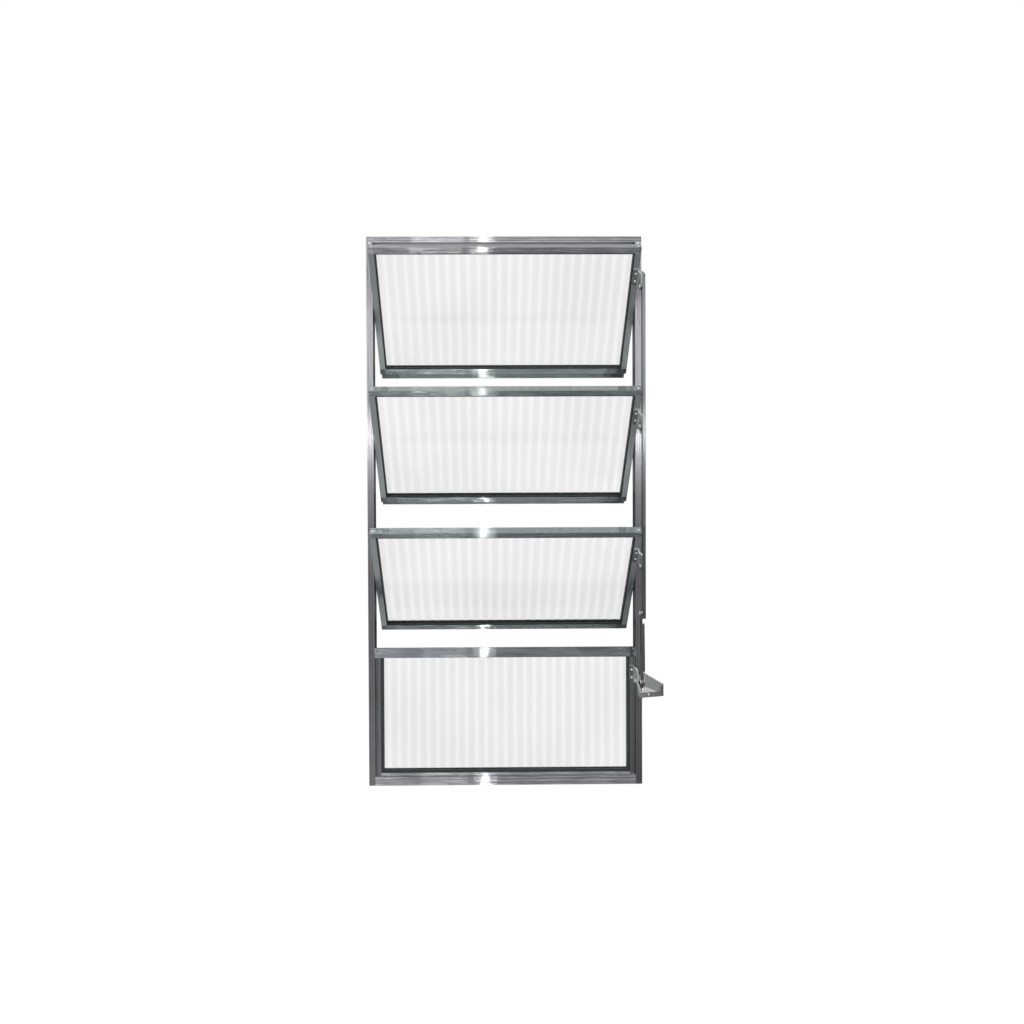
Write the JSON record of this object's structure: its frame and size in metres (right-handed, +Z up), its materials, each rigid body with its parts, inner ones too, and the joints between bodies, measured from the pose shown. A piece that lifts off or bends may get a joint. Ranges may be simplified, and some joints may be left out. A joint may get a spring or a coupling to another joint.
{
  "type": "pivot window",
  "caption": "Aluminium pivot window with tilted fluted-glass sashes over a fixed light, worked together by a lever, rod and cast arms.",
  "frame": {"origin": "middle of the sill's underside, in the plane of the sash pivots", "axes": "+Z up the window, +X across it towards the lever side, +Y outdoors, so the room is at -Y"},
  "size_m": [0.5165, 0.2059, 1],
  "materials": {
    "mill_aluminium": "extruded, natural, satin with draw lines",
    "cast_aluminium": "cast, lightly tumbled",
    "rivet_aluminium": "bright",
    "fluted_glass": "rolled, upright flutes on the room side",
    "glazing_rubber": "matte black",
    "pivot_nylon": "black nylon"
  },
  "bodies": {
    "root": {"fixed_light_bottom_rail": "mill_aluminium", "fixed_light_gasket": "glazing_rubber", "fixed_light_glass": "fluted_glass", "fixed_light_left_stile": "mill_aluminium", "fixed_light_right_stile": "mill_aluminium", "head": "mill_aluminium", "left_jamb": "mill_aluminium", "lever": "cast_aluminium", "lever_bracket": "cast_aluminium", "lever_pins": "rivet_aluminium", "lower_link": "mill_aluminium", "lower_sash_arm": "cast_aluminium", "lower_sash_bottom_rail": "mill_aluminium", "lower_sash_gasket": "glazing_rubber", "lower_sash_glass": "fluted_glass", "lower_sash_left_stile": "mill_aluminium", "lower_sash_pivots": "pivot_nylon", "lower_sash_right_stile": "mill_aluminium", "lower_sash_top_rail": "mill_aluminium", "middle_sash_arm": "cast_aluminium", "middle_sash_bottom_rail": "mill_aluminium", "middle_sash_gasket": "glazing_rubber", "middle_sash_glass": "fluted_glass", "middle_sash_left_stile": "mill_aluminium", "middle_sash_pivots": "pivot_nylon", "middle_sash_right_stile": "mill_aluminium", "middle_sash_top_rail": "mill_aluminium", "operating_rod": "mill_aluminium", "right_jamb": "mill_aluminium", "rod_pins": "rivet_aluminium", "sill": "mill_aluminium", "transom": "mill_aluminium", "upper_sash_arm": "cast_aluminium", "upper_sash_bottom_rail": "mill_aluminium", "upper_sash_gasket": "glazing_rubber", "upper_sash_glass": "fluted_glass", "upper_sash_left_stile": "mill_aluminium", "upper_sash_pivots": "pivot_nylon", "upper_sash_right_stile": "mill_aluminium", "upper_sash_top_rail": "mill_aluminium"}
  },
  "joints": []
}
